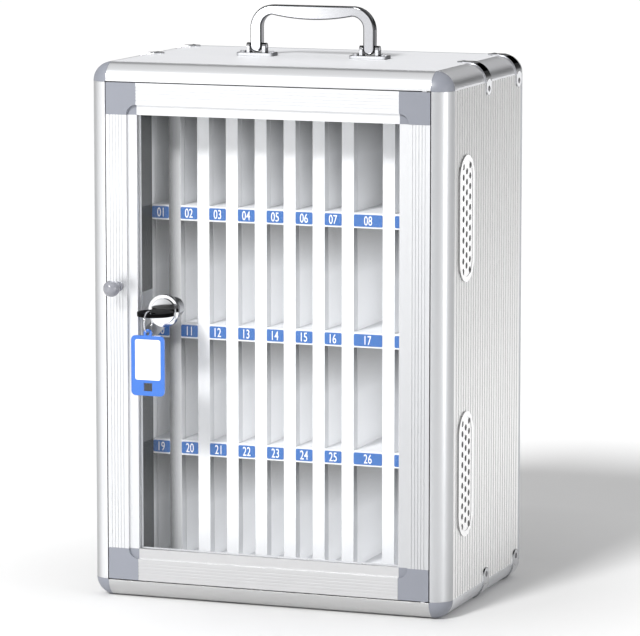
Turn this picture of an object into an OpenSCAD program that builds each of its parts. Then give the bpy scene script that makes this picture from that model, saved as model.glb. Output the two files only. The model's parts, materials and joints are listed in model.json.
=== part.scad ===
// Wall-sided cabinet with a hinged glazed door, a lock, a folding handle and numbered phone slots.
// Millimetres. X runs to the right, Y runs back from the door, Z runs up.
// The origin is the centre of the base face.

/* [Cabinet] */
// Overall width
body_w = 350; // [330:1:380]
// Overall depth, without the knob and the key
body_d = 220; // [200:1:240]
// Overall height, without the handle
body_h = 500; // [460:1:520]
// Radius of the rounded front and side edges
edge_r = 17.5; // [17.3:0.1:18.5]
// Wall of the aluminium profiles
skin_t = 2; // [1.5:0.1:2.2]
// Thickness of the panels
panel_t = 4; // [3:0.5:5]
// Length of the profile flanges behind a panel
flange_l = 10; // [6:1:10]
// Thickness of the profile flanges
flange_t = 1.5; // [1:0.1:2]
// Target pitch of the ribs on the side panels
rib_pitch = 7.05; // [6:0.05:9]
// Width of a groove between two ribs
rib_groove_w = 2.8; // [2:0.1:3.4]
// Depth of a groove between two ribs
rib_groove_d = 0.9; // [0.5:0.1:1.5]
// Width of the rear corner trim seen from the side
trim_w = 5.5; // [4:0.5:8]
// Reach of the rear corner trim over the back panel
trim_reach = 12; // [8:1:16]
// Radius of the tenons that locate the corner caps
tenon_r = 3.8; // [3:0.1:4]
// Length of the tenons that locate the corner caps
tenon_l = 9; // [6:1:9]

/* [Door] */
// Width of the fixed front frame
frame_w = 16.8; // [16:0.1:17.2]
// Gap round the closed door
door_gap = 1; // [0.9:0.1:1.4]
// Thickness of the door
door_t = 16; // [15:0.5:17]
// Gap between the door's back and the stop flange
stop_gap = 1.6; // [1.5:0.1:2.5]
// Reach of the stop flange behind the door
stop_reach = 8; // [6:0.5:9]
// Width of the door's stiles and rails
stile_w = 29.6; // [28:0.1:32]
// Width of the raised ribbed band on the stiles and rails
band_w = 20.2; // [19:0.1:21]
// Depth of the smooth lip below the band
lip_recess = 2.75; // [2:0.05:3]
// Radius of the lip's outer corners
lip_corner_r = 9.5; // [6:0.5:10]
// Depth of the pane's front face below the door's front
pane_depth = 6.4; // [5.5:0.1:7]
// Thickness of the pane
pane_t = 3; // [2:0.5:3]
// Overlap of the pane behind the lip
pane_overlap = 5; // [4:0.5:5]
// Clearance round the pane in its rebate
pane_fit = 0.3; // [0.2:0.1:0.5]
// Depth of the glazing bead behind the pane
bead_d = 4; // [3:0.5:5]
// Number of fine grooves on the band
band_grooves = 5; // [3:1:5]
// Pitch of the fine grooves
band_pitch = 3; // [2.6:0.1:3.4]
// Width of a fine groove
band_groove_w = 1.1; // [0.8:0.1:1.4]
// Depth of a fine groove
band_groove_d = 0.5; // [0.3:0.1:0.8]
// Distance of the hinge axis from the door's edge
hinge_in = 6.2; // [6:0.1:6.4]
// Distance of the hinge axis behind the door's front
hinge_depth = 3.2; // [3:0.1:3.2]
// Radius of the hinge pins
pin_r = 1.6; // [1.4:0.1:1.8]
// Depth of the hinge pins in the door
pin_reach = 12; // [8:1:15]
// Radius of the collar between door and frame
collar_r = 3; // [2.6:0.1:3]
// Radial running clearance of pins and shafts
run_clear = 0.05; // [0.02:0.01:0.09]

/* [Slots] */
// Distance of the slots in from the cabinet's sides
grid_in = 41.4; // [41:0.1:44]
// Width of a wide slot
wide_w = 28; // [24:0.5:29]
// Height of the ceiling plate with the gap above the slots
grid_above = 39; // [37:0.5:44]
// Thickness of a vertical divider
divider_t = 11.75; // [10:0.25:12]
// Height of the label strip under a slot
shelf_h = 14.1; // [12.5:0.1:15]
// Height of the lowest slots' floor
floor_z = 32.5; // [30:0.5:34]
// Distance of the slots' front behind the door's front
grid_depth = 54; // [50:0.5:70]
// Distance of the side boards' front behind the door's front
side_depth = 21; // [20.5:0.5:30]
// Distance of the seam on the slots' sides behind their front
seam_in = 10; // [8:0.5:14]
// Width and depth of that seam
seam_w = 0.6; // [0.4:0.1:0.8]
// Thickness of the front strips beside the slots
strip_t = 4; // [3:0.5:6]
// Height of a number label
label_h = 11.1; // [10:0.1:11.5]
// Corner radius of a number label
label_r = 1.2; // [0.6:0.1:2]
// Thickness of a number label
label_t = 0.5; // [0.4:0.1:1]
// Side margin of a label in its slot's width
label_margin = 0.1; // [0:0.1:1]

/* [Vents] */
// Width of a vent plate
vent_w = 42; // [38:1:46]
// Height of a vent plate
vent_h = 116; // [112:1:124]
// How far a vent plate stands proud of the ribs
vent_proud = 1.4; // [1:0.1:2]
// Width of a vent plate's rim outside its cut-out
vent_rim = 3; // [2:0.5:4]
// Width of a vent plate's raised border
vent_border = 5; // [4:0.5:6]
// Depth of a vent plate's middle below its border
vent_recess = 0.5; // [0.3:0.1:0.8]
// Clearance of a vent plate in its cut-out
vent_fit = 0.2; // [0.1:0.1:0.5]
// Distance of the vents' centre behind the front
vent_depth = 50; // [45:1:80]
// Height of the lower vents' centre
vent_low_z = 129; // [110:1:140]
// Height of the upper vents' centre
vent_high_z = 364; // [340:1:380]
// Radius of a vent hole
vent_hole_r = 2.9; // [2:0.1:3]
// Pitch of the holes along a column
vent_pitch = 9.55; // [8:0.05:9.6]
// Distance between the three columns of holes
vent_column = 9.5; // [8:0.1:10]
// Number of holes in an outer column
vent_holes = 11; // [5:1:11]

/* [Edge clips] */
// Width of an edge clip
clip_w = 15.5; // [14:0.5:20]
// Thickness of an edge clip
clip_t = 1.2; // [0.8:0.1:1.6]
// Length of a clip's tab beyond the rounded edge
clip_tab = 12; // [10:0.5:16]
// Distance of the middle clips behind the front
clip_mid_depth = 114; // [100:1:130]
// Distance of the rear clips' centre from the back
clip_rear_in = 14; // [12:1:20]
// Angle at which a lower clip ends below the side, so that the base stays flat
clip_low_angle = 64; // [50:1:66]
// Distance of a rivet beyond the rounded edge
rivet_out = 5.8; // [5:0.1:6.5]
// Radius of a rivet's shank
rivet_r = 1.5; // [1.2:0.1:1.8]
// Radius of a rivet's head
rivet_head_r = 2.8; // [2.4:0.1:3.5]
// Height of a rivet's head
rivet_head_h = 1; // [0.6:0.1:1.4]

/* [Knob] */
// Distance of the knob in from the door's edge
knob_in = 11.7; // [10:0.1:13]
// Height of the knob's axis
knob_z = 293.4; // [290:0.1:310]
// Radius of the knob's ball
knob_r = 7.7; // [6:0.1:9]
// Distance of the ball's centre in front of the door
knob_out = 17; // [14:0.5:20]
// Radius of the knob's neck
knob_neck_r = 2.8; // [2.6:0.1:4]
// Radius of the knob's foot
knob_foot_r = 4.6; // [4.2:0.1:6]
// Thickness of the knob's foot
knob_foot_t = 1.6; // [1:0.1:2]
// Radius of the knob's screw
knob_screw_r = 1.8; // [1.5:0.1:2]

/* [Lock] */
// Distance of the lock's axis in from the door's edge
lock_in = 54.9; // [53:0.1:58]
// Height of the lock's axis
lock_z = 272; // [265:0.5:275]
// Radius of the lock's bezel
lock_bezel_r = 15.2; // [14:0.1:17]
// Thickness of the lock's bezel
lock_bezel_t = 3; // [2:0.1:3]
// Radius of the lock's barrel
lock_barrel_r = 9.5; // [9:0.1:10]
// Length of the barrel behind the bezel
lock_barrel_l = 25; // [22:0.5:26]
// Clearance of the barrel in the pane
lock_fit = 0.2; // [0.1:0.1:0.4]
// Radius of the plug's round face
plug_face_r = 11.9; // [10:0.1:13]
// Thickness of the plug's round face
plug_face_t = 1.4; // [1:0.1:2]
// Radius of the plug's shaft
plug_r = 6.5; // [6:0.1:7]
// Radius of the stub that carries the cam
stub_r = 3; // [2.6:0.1:3.5]
// Width across the corners of the lock nut
nut_across = 27; // [25:0.5:30]
// Thickness of the lock nut
nut_t = 4; // [3:0.5:5]
// Reach of the cam from the lock's axis
cam_reach = 40; // [38:0.5:42]
// Width of the cam
cam_w = 13; // [11:0.5:15]
// Thickness of the cam
cam_t = 2; // [1.5:0.5:2.5]
// Gap between the barrel's end and the cam
cam_gap = 0.5; // [0.3:0.1:1]
// Gap between the locked cam and the strike
strike_gap = 1.5; // [0.8:0.1:2]
// Overlap of the locked cam and the strike
strike_overlap = 5; // [4:0.5:7]
// Thickness of the strike plate
strike_t = 2; // [1.5:0.5:2.5]
// Height of the strike plate
strike_h = 22; // [16:1:26]
// Length of the strike's foot on the side wall
strike_foot = 16; // [12:1:20]

/* [Key and tag] */
// Width of the key's blade
blade_w = 8; // [7:0.5:9]
// Thickness of the key's blade
blade_t = 2.2; // [1.8:0.1:2.5]
// Length of the blade in the plug
blade_in = 26; // [22:1:27]
// Clearance of the blade in the keyway
key_fit = 0.1; // [0.05:0.05:0.2]
// Radius of the key's round bow
bow_r = 17; // [16:0.1:17.5]
// Thickness of the key's bow
bow_t = 3.4; // [3:0.1:3.6]
// Gap between the bow and the plug's face
bow_gap = 1; // [0.8:0.1:3]
// Radius of the hole in the bow
bow_hole_r = 3.8; // [3.6:0.1:4]
// Web between the hole and the bow's front edge
bow_web = 3.9; // [3.7:0.1:4]
// Radius of the key ring to the wire's centre
ring_r = 9.5; // [9.4:0.1:10]
// Radius of the ring's wire
wire_r = 0.65; // [0.5:0.05:0.7]
// Drop of the ring's centre below the key
ring_drop = 5.2; // [5.1:0.1:5.3]
// Distance of the ring's centre in front of the bow's edge
ring_out = 1.4; // [1.3:0.1:1.5]
// Width of the tag
tag_w = 32.8; // [30:0.1:35]
// Height of the tag without its eye
tag_h = 55.7; // [50:0.1:60]
// Thickness of the tag
tag_t = 2; // [1.6:0.1:2]
// Corner radius of the tag
tag_r = 4.5; // [3:0.5:6]
// Outer radius of the tag's eye
eye_r = 4.1; // [3.6:0.1:5]
// Radius of the hole in the tag's eye
eye_hole_r = 1.8; // [1.6:0.1:2]
// Distance of the eye's centre above the tag's top edge
eye_up = 2; // [1.5:0.1:2.5]
// Width of the card window
card_w = 25; // [20:0.5:26]
// Height of the card window
card_h = 37.5; // [30:0.5:39]
// Distance of the card window below the tag's top edge
card_top = 3.6; // [3:0.1:5]
// Thickness of the card
card_t = 0.6; // [0.4:0.1:0.8]
// Depth of the card's pocket
pocket_d = 0.8; // [0.8:0.1:1]
// Width of the square hole under the card
tag_slot_w = 8.4; // [6:0.1:10]
// Height of the square hole under the card
tag_slot_h = 7.4; // [5:0.1:8]
// Distance of the square hole above the tag's lower edge
tag_slot_up = 4.4; // [3:0.1:5]

/* [Handle] */
// Distance of the handle behind the front
handle_depth = 126; // [115:1:135]
// Distance between the middles of the two legs
handle_span = 112; // [100:1:130]
// Height of the grip's top above the cabinet
handle_h = 48; // [44:0.5:56]
// Width of a leg
leg_w = 10.8; // [9:0.1:11]
// Thickness of the handle from front to back
handle_t = 9; // [8:0.5:10]
// Outer radius of the handle's corners
handle_r = 22; // [20:0.5:26]
// Depth of the grip at its ends
grip_end = 9.2; // [8:0.1:10]
// Extra depth of the grip in its middle
grip_belly = 4; // [2:0.5:5]
// Height of the handle's pivots above the cabinet
pivot_h = 9; // [8.8:0.1:9.3]
// Radius of the pivot pins
pivot_r = 1.8; // [1.5:0.1:2]
// Width of a bracket's base
bracket_w = 36; // [35.5:0.5:44]
// Depth of a bracket's base
bracket_d = 18; // [16:0.5:30]
// Thickness of a bracket's base
bracket_t = 3; // [2:0.5:3]
// Corner radius of a bracket's base
bracket_r = 3; // [2:0.5:6]
// Thickness of a bracket's ear
ear_t = 3.3; // [3:0.1:4]
// Depth of a bracket's ear
ear_d = 8; // [7.5:0.5:12]
// Height of a bracket's ears above the cabinet
ear_h = 12; // [11.5:0.1:12.5]
// Gap between a leg and an ear
ear_gap = 0.8; // [0.4:0.1:1]
// Radius of a bracket screw
screw_r = 1.8; // [1.5:0.1:2.2]
// Radius of a bracket screw's head
screw_head_r = 3.2; // [2.8:0.1:3.6]
// Height of a bracket screw's head
screw_head_h = 1.4; // [1:0.1:2]
// Distance of a bracket screw in from the base's ends
screw_in = 4.2; // [4:0.1:4.6]

/* [Hidden] */
$fn = 48;
eps = 0.01;
half_w = body_w / 2;
front_y = -body_d / 2;
back_y = body_d / 2;

// Door outline
open_x = half_w - frame_w;
open_z0 = frame_w;
open_z1 = body_h - frame_w;
door_x = open_x - door_gap;
door_z0 = open_z0 + door_gap;
door_z1 = open_z1 - door_gap;
lip_x = door_x - band_w;
pane_open_x = door_x - stile_w;
pane_z0 = door_z0 + stile_w;
pane_z1 = door_z1 - stile_w;
rebate_u = stile_w - pane_overlap;
pane_back = pane_depth + pane_t;
stop_v = door_t + stop_gap;
profile_depth = stop_v + skin_t;

// Hinge axis
hinge_x = door_x - hinge_in;
hinge_y = front_y + hinge_depth;

// Back of the cabinet
trim_y = back_y - trim_w;
back_panel_y1 = back_y - skin_t;
back_panel_y0 = back_panel_y1 - panel_t;
flange_y0 = front_y + edge_r + flange_l + 0.3;
flange_y1 = back_panel_y0 - 0.3;

// Slot grid: two wide columns at the right of the narrow ones, and a floor part for every row
row_count = 4;
narrow_count = 7;
column_count = 9;
grid_w = body_w - 2 * grid_in;
slot_w = (grid_w - (column_count - narrow_count) * wide_w - (column_count - 1) * divider_t) / narrow_count;
slot_h = (body_h - grid_above - floor_z - (row_count - 1) * shelf_h) / row_count;
widths = [for (c = [0:column_count - 1]) c < narrow_count ? slot_w : wide_w];
function sum_to(v, n) = n <= 0 ? 0 : v[n - 1] + sum_to(v, n - 1);
function slot_x(c) = -grid_w / 2 + sum_to(widths, c) + c * divider_t;
grid_y = front_y + grid_depth;
grid_l = back_panel_y0 - grid_y;
row_pitch = slot_h + shelf_h;
function shelf_top(r) = floor_z + r * row_pitch;
grid_top = shelf_top(row_count) - shelf_h;
side_board_x = grid_w / 2;
fore_gap = 0.1;

// Knob
knob_x = -door_x + knob_in;

// Lock
lock_x = -door_x + lock_in;
lock_y0 = front_y + pane_depth;
bezel_y = lock_y0 - lock_bezel_t;
plug_gap = 0.1;
plug_face_y = bezel_y - plug_gap - plug_face_t;
barrel_end = lock_y0 + lock_barrel_l;
cam_y = barrel_end + cam_gap;
cam_end = cam_y + cam_t;
cam_rest = 45;
strike_y = cam_y - strike_gap - strike_t;
strike_x = lock_x - cam_reach + strike_overlap;

// Key, ring and tag
bow_y = plug_face_y - bow_gap - bow_r;
bow_edge_y = bow_y - bow_r;
bow_hole_y = bow_edge_y + bow_web + bow_hole_r;
ring_y = bow_edge_y - ring_out;
ring_z = lock_z - ring_drop;
wire_z = ring_z - ring_r;
eye_z = wire_z + wire_r + 0.2 - eye_hole_r;
tag_top = eye_z - eye_up;

// Handle
handle_y = front_y + handle_depth;
leg_x = handle_span / 2;
pivot_z = body_h + pivot_h;
screw_l = bracket_t + panel_t - 0.5;
ear_crown = 3.5;
leg_turn_r = pivot_h - bracket_t - 0.2;
ear_span = leg_w + 2 * ear_gap + 2 * ear_t;
grip_half = leg_x + leg_w / 2 - handle_r;
belly_r = (grip_half * grip_half + grip_belly * grip_belly) / (2 * grip_belly);

// Clips and rivets
clip_ys = [front_y + clip_mid_depth, back_y - clip_rear_in];
clip_gap = 0.06;
clip_tab_end = edge_r + clip_tab - clip_w / 2;
rivet_l = clip_t + panel_t + flange_t;
rivet_dome_r = (rivet_head_r * rivet_head_r + rivet_head_h * rivet_head_h) / (2 * rivet_head_h);

// Mirrors its children left to right or top to bottom where asked
module flip_x(on) {
    if (on) mirror([1, 0, 0]) children();
    else children();
}
module flip_z(on) {
    if (on) mirror([0, 0, 1]) children();
    else children();
}

// Puts what is drawn inward from the lower left edge at any of the four edges along Y
module at_edge(right, top) {
    translate([right ? half_w : -half_w, 0, top ? body_h : 0])
        flip_x(right) flip_z(top) children();
}

// Extrudes a drawing of X and Z backwards from y0 to y1
module run_y(y0, y1) {
    translate([0, y1, 0]) rotate([90, 0, 0]) linear_extrude(y1 - y0) children();
}

// Extrudes a drawing of height above the base and depth along X
module run_x(length) {
    mirror([0, 0, 1]) rotate([0, 90, 0]) linear_extrude(length, center = true) children();
}

module rounded_rect(w, h, r) {
    square([w - 2 * r, h], center = true);
    square([w, h - 2 * r], center = true);
    for (x = [-1, 1], y = [-1, 1])
        translate([x * (w / 2 - r), y * (h / 2 - r)]) circle(r);
}

module stadium(w, h) {
    square([w, h - w], center = true);
    for (s = [-1, 1]) translate([0, s * (h - w) / 2]) circle(d = w, $fn = 96);
}

// Cylinder along Y from y0 to y1
module rod_y(r, y0, y1) {
    translate([0, y1, 0]) rotate([90, 0, 0]) cylinder(r = r, h = y1 - y0);
}

// Quarter ring of the rounded edge, drawn inward from the corner
module edge_shell() {
    intersection() {
        square(edge_r);
        difference() {
            translate([edge_r, edge_r]) circle(edge_r, $fn = 96);
            translate([edge_r, edge_r]) circle(edge_r - skin_t, $fn = 96);
        }
    }
}

// Lip behind one panel, for a panel that runs off along the second axis
module panel_flange() {
    translate([panel_t, edge_r - skin_t]) square([flange_t, skin_t + flange_l]);
    translate([0, edge_r - skin_t]) square([panel_t + eps, skin_t]);
}

// Front profile: x is the distance in from the outer face, y the depth behind the front
module front_shell_section() {
    intersection() {
        union() {
            edge_shell();
            translate([frame_w - skin_t, skin_t / 2]) square([skin_t, profile_depth - skin_t / 2]);
        }
        square([frame_w, profile_depth]);
    }
    panel_flange();
}
module front_stop_section() {
    translate([frame_w - eps, stop_v]) square([stop_reach + eps, skin_t]);
}

module front_profile_vertical(right) {
    flip_x(right) translate([-half_w, front_y, 0]) {
        translate([0, 0, edge_r]) linear_extrude(body_h - 2 * edge_r) front_shell_section();
        translate([0, 0, frame_w + stop_reach])
            linear_extrude(body_h - 2 * (frame_w + stop_reach)) front_stop_section();
    }
}
module front_profile_horizontal(top) {
    translate([0, front_y, top ? body_h : 0]) flip_z(top)
        run_x(body_w - 2 * edge_r) {
            front_shell_section();
            front_stop_section();
        }
}

// Hole of a hinge pin's fixed end through the front profile's inner wall
module hinge_holes(r) {
    for (z = [open_z0 - skin_t - eps, open_z1])
        translate([hinge_x, hinge_y, z]) cylinder(r = r, h = skin_t + eps);
}

module front_profile_top() {
    color("gainsboro") difference() {
        front_profile_horizontal(true);
        hinge_holes(pin_r);
    }
}
module front_profile_bottom() {
    color("gainsboro") difference() {
        front_profile_horizontal(false);
        hinge_holes(pin_r);
    }
}
module front_profile_left() color("gainsboro") front_profile_vertical(false);
module front_profile_right() color("gainsboro") front_profile_vertical(true);

// Corner cap: an eighth of a ball with tenons into the three profiles that meet there
module eighth_ball() {
    rotate(180) rotate_extrude(angle = 90, $fn = 96) intersection() {
        circle(edge_r, $fn = 96);
        translate([0, -edge_r]) square(edge_r);
    }
}
module corner_cap(right, top) {
    tenon_at = edge_r / 2 + 0.8;
    color("slategray") at_edge(right, top) translate([0, front_y, 0]) {
        difference() {
            translate([edge_r, edge_r, edge_r]) eighth_ball();
            translate([frame_w, -eps, frame_w]) cube(edge_r);
        }
        translate([tenon_at, tenon_at, edge_r - eps]) cylinder(r = tenon_r, h = tenon_l);
        translate([edge_r - eps, tenon_at, tenon_at]) rotate([0, 90, 0]) cylinder(r = tenon_r, h = tenon_l);
        translate([tenon_at, 0, tenon_at]) rod_y(tenon_r, edge_r - eps, edge_r + tenon_l);
    }
}
module corner_cap_top_left() corner_cap(false, true);
module corner_cap_top_right() corner_cap(true, true);
module corner_cap_bottom_left() corner_cap(false, false);
module corner_cap_bottom_right() corner_cap(true, false);

// The rivets of the two clips on an edge, drawn inward: every clip has one on its side tab,
// and an upper clip has one more on its top tab
module rivet_places(top) {
    for (y = clip_ys) {
        translate([-clip_t, y, edge_r + rivet_out]) rotate([0, 90, 0]) children();
        if (top) translate([edge_r + rivet_out, y, -clip_t]) children();
    }
}
module rivet_holes(top) {
    rivet_places(top) translate([0, 0, -eps]) cylinder(r = rivet_r, h = rivet_l + 2 * eps);
}
module all_rivet_holes() {
    for (right = [false, true], top = [false, true]) at_edge(right, top) rivet_holes(top);
}

module edge_profile(right, top) {
    color("silver") difference() {
        at_edge(right, top) {
            run_y(front_y + edge_r, back_y) edge_shell();
            run_y(flange_y0, flange_y1) {
                panel_flange();
                mirror([1, -1, 0]) panel_flange();
            }
        }
        at_edge(right, top) rivet_holes(top);
    }
}
module edge_profile_top_left() edge_profile(false, true);
module edge_profile_top_right() edge_profile(true, true);
module edge_profile_bottom_left() edge_profile(false, false);
module edge_profile_bottom_right() edge_profile(true, false);

// Flat panel between two edge profiles
module flat_panel(z) {
    translate([-half_w + edge_r, front_y + edge_r, z])
        cube([body_w - 2 * edge_r, trim_y - front_y - edge_r, panel_t]);
}
module top_panel() {
    color("whitesmoke") difference() {
        flat_panel(body_h - panel_t);
        all_rivet_holes();
        bracket_screw_places(body_h - panel_t - eps) cylinder(r = screw_r, h = panel_t + 2 * eps);
    }
}
module bottom_panel() color("whitesmoke") flat_panel(0);

// Ribbed side panel, drawn with x as the distance in from the rib crests and y along the depth
module ribbed_section(length) {
    n = round(length / rib_pitch);
    pitch = length / n;
    flank = rib_groove_w / 4;
    polygon(concat(
        [[panel_t, 0], [0, 0]],
        [for (k = [1:n - 1], p = [0:3])
            [(p == 1 || p == 2) ? rib_groove_d : 0,
             k * pitch + [-rib_groove_w / 2, flank - rib_groove_w / 2,
                          rib_groove_w / 2 - flank, rib_groove_w / 2][p]]],
        [[0, length], [panel_t, length]]));
}
module vent_places() {
    for (z = [vent_low_z, vent_high_z]) translate([-half_w, front_y + vent_depth, z]) children();
}
module side_panel(right) {
    color("lightgray") flip_x(right) difference() {
        translate([-half_w, front_y + edge_r, edge_r])
            linear_extrude(body_h - 2 * edge_r) ribbed_section(trim_y - front_y - edge_r);
        vent_places() translate([-eps, 0, 0]) rotate([90, 0, 90])
            linear_extrude(panel_t + 2 * eps)
                stadium(vent_w - 2 * vent_rim + 2 * vent_fit, vent_h - 2 * vent_rim + 2 * vent_fit);
        all_rivet_holes();
    }
}
module left_panel() side_panel(false);
module right_panel() side_panel(true);

// Back panel, filling the rounded corners up to the edge profiles
module back_panel() {
    color("whitesmoke") {
        translate([0, 0, body_h / 2]) run_y(back_panel_y0, back_panel_y1)
            rounded_rect(body_w - 2 * panel_t, body_h - 2 * panel_t, edge_r - panel_t);
        for (right = [false, true], top = [false, true])
            at_edge(right, top) run_y(back_panel_y0, back_panel_y1) intersection() {
                translate([edge_r, edge_r]) circle(edge_r - skin_t, $fn = 96);
                square(edge_r);
            }
    }
}

// Rear trim: x is the distance in from the outer face, y runs back
module trim_section() {
    translate([0, trim_y]) square([panel_t, trim_w]);
    translate([0, back_panel_y1]) square([trim_reach, skin_t]);
}
module rear_trim_vertical(right) {
    color("darkgray") flip_x(right) translate([-half_w, 0, edge_r])
        linear_extrude(body_h - 2 * edge_r) trim_section();
}
module rear_trim_horizontal(top) {
    color("darkgray") translate([0, 0, top ? body_h : 0]) flip_z(top)
        run_x(body_w - 2 * edge_r) trim_section();
}
module rear_trim_left() rear_trim_vertical(false);
module rear_trim_right() rear_trim_vertical(true);
module rear_trim_top() rear_trim_horizontal(true);
module rear_trim_bottom() rear_trim_horizontal(false);

// Edge clip: a band bent round the rounded edge, with a round tab on the side and,
// on an upper edge, one on the top
module clip_section(top) {
    difference() {
        union() {
            translate([edge_r, edge_r]) circle(edge_r + clip_t, $fn = 96);
            translate([edge_r, -clip_t]) square([clip_tab_end - edge_r, clip_t]);
            translate([-clip_t, edge_r]) square([clip_t, clip_tab_end - edge_r]);
        }
        translate([edge_r, edge_r]) circle(edge_r + clip_gap, $fn = 96);
        translate([edge_r, 0]) square(4 * edge_r);
        translate([0, edge_r]) square(4 * edge_r);
        if (!top) translate([edge_r, edge_r]) rotate(180 + clip_low_angle) square(4 * edge_r);
    }
}
module edge_clip(y, top) {
    run_y(y - clip_w / 2, y + clip_w / 2) clip_section(top);
    translate([-clip_t, y, clip_tab_end]) rotate([0, 90, 0]) cylinder(d = clip_w, h = clip_t);
    if (top) translate([clip_tab_end, y, -clip_t]) cylinder(d = clip_w, h = clip_t);
}
module edge_clips() {
    color("silver") for (right = [false, true], top = [false, true])
        at_edge(right, top) difference() {
            for (y = clip_ys) edge_clip(y, top);
            rivet_holes(top);
        }
}

// Domed rivet along Z, its head on the near side of the origin and its shank beyond it
module rivet() {
    cylinder(r = rivet_r, h = rivet_l);
    mirror([0, 0, 1]) intersection() {
        cylinder(r = rivet_head_r, h = rivet_head_h);
        translate([0, 0, rivet_head_h - rivet_dome_r]) sphere(rivet_dome_r);
    }
}
module clip_rivets() {
    color("gray") for (right = [false, true], top = [false, true])
        at_edge(right, top) rivet_places(top) rivet();
}

// Vent plate: a proud stadium with three staggered columns of holes
module vent_plate() {
    difference() {
        rotate([90, 0, 90]) {
            translate([0, 0, -vent_proud]) linear_extrude(vent_recess) difference() {
                stadium(vent_w, vent_h);
                stadium(vent_w - 2 * vent_border, vent_h - 2 * vent_border);
            }
            translate([0, 0, vent_recess - vent_proud]) linear_extrude(vent_proud - vent_recess)
                stadium(vent_w, vent_h);
            translate([0, 0, -eps]) linear_extrude(panel_t + eps)
                stadium(vent_w - 2 * vent_rim, vent_h - 2 * vent_rim);
        }
        for (col = [-1, 0, 1]) {
            count = vent_holes - (col == 0 ? 1 : 0);
            for (k = [0:count - 1])
                translate([-vent_proud - eps, col * vent_column, (k - (count - 1) / 2) * vent_pitch])
                    rotate([0, 90, 0]) cylinder(r = vent_hole_r, h = vent_proud + panel_t + 2 * eps);
        }
    }
}
module vent_plates_left() color("white") vent_places() vent_plate();
module vent_plates_right() color("white") flip_x(true) vent_places() vent_plate();

// Slot grid
module slot_board(x, w, z0, z1) {
    translate([x, grid_y, z0]) cube([w, grid_l, z1 - z0]);
}
// Fine upright groove on the side of a board, round the place x
module seam(x) {
    translate([x - seam_w / 2, grid_y + seam_in, 0]) cube([seam_w, seam_w, body_h]);
}
module slot_dividers() {
    color("white") for (c = [1:column_count - 1]) difference() {
        slot_board(slot_x(c) - divider_t, divider_t, panel_t, body_h - panel_t);
        seam(slot_x(c) - divider_t);
        seam(slot_x(c));
    }
}
// Board that carries on a side board towards the door, from z0 to z1
module fore_board(z0, z1) {
    translate([-side_board_x - divider_t, front_y + side_depth, z0])
        cube([divider_t, grid_depth - side_depth - fore_gap, z1 - z0]);
}
// Side board; in front of the left one the cam turns between two fore boards
module slot_side(right) {
    strip_x = half_w - panel_t - flange_t - 0.3;
    fore_z = panel_t + flange_t + 0.3;
    color("white") flip_x(right) {
        difference() {
            slot_board(-side_board_x - divider_t, divider_t, panel_t, body_h - panel_t);
            seam(-side_board_x);
        }
        translate([-strip_x, grid_y, edge_r + 0.3])
            cube([strip_x - side_board_x - divider_t / 2, strip_t, body_h - 2 * edge_r - 0.6]);
        if (right) fore_board(fore_z, body_h - fore_z);
        else {
            fore_board(fore_z, lock_z - 0.75 * cam_reach - 2);
            fore_board(lock_z + strike_h / 2 + 2, body_h - fore_z);
        }
    }
}
module slot_side_left() slot_side(false);
module slot_side_right() slot_side(true);

// One level of plates between the dividers, from z0 to z1
module slot_level(z0, z1) {
    color("white") for (c = [0:column_count - 1]) slot_board(slot_x(c), widths[c], z0, z1);
}
module slot_floor_1() slot_level(panel_t, shelf_top(0));
module slot_floor_2() slot_level(shelf_top(1) - shelf_h, shelf_top(1));
module slot_floor_3() slot_level(shelf_top(2) - shelf_h, shelf_top(2));
module slot_floor_4() slot_level(shelf_top(3) - shelf_h, shelf_top(3));
module slot_ceiling() slot_level(grid_top, body_h - panel_t);

module number_labels() {
    color("cornflowerblue") for (r = [0:row_count - 1], c = [0:column_count - 1])
        translate([slot_x(c) + widths[c] / 2, 0, shelf_top(r) - shelf_h / 2])
            run_y(grid_y - label_t, grid_y)
                rounded_rect(widths[c] - 2 * label_margin, label_h, label_r);
}

// Strike plate: a foot on the left wall and a tongue in front of the locked cam
module lock_strike() {
    wall_x = -half_w + panel_t;
    color("silver") translate([0, 0, lock_z - strike_h / 2]) {
        translate([wall_x, strike_y, 0]) cube([strike_x - wall_x, strike_t, strike_h]);
        translate([wall_x, strike_y, 0]) cube([strike_t, strike_foot, strike_h]);
    }
}

// Hinge pins, fixed in the front frame, each with a collar that spaces the door
module hinge_pins() {
    collar_t = door_gap - 0.1;
    color("silver") {
        translate([hinge_x, hinge_y, open_z0 - skin_t])
            cylinder(r = pin_r, h = skin_t + door_gap + pin_reach);
        translate([hinge_x, hinge_y, open_z0]) cylinder(r = collar_r, h = collar_t);
        translate([hinge_x, hinge_y, door_z1 - pin_reach])
            cylinder(r = pin_r, h = skin_t + door_gap + pin_reach);
        translate([hinge_x, hinge_y, open_z1 - collar_t]) cylinder(r = collar_r, h = collar_t);
    }
}

// Handle
module bracket_screw_places(z) {
    for (s = [-1, 1], e = [-1, 1])
        translate([s * leg_x + e * (bracket_w / 2 - screw_in), handle_y, z]) children();
}
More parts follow.
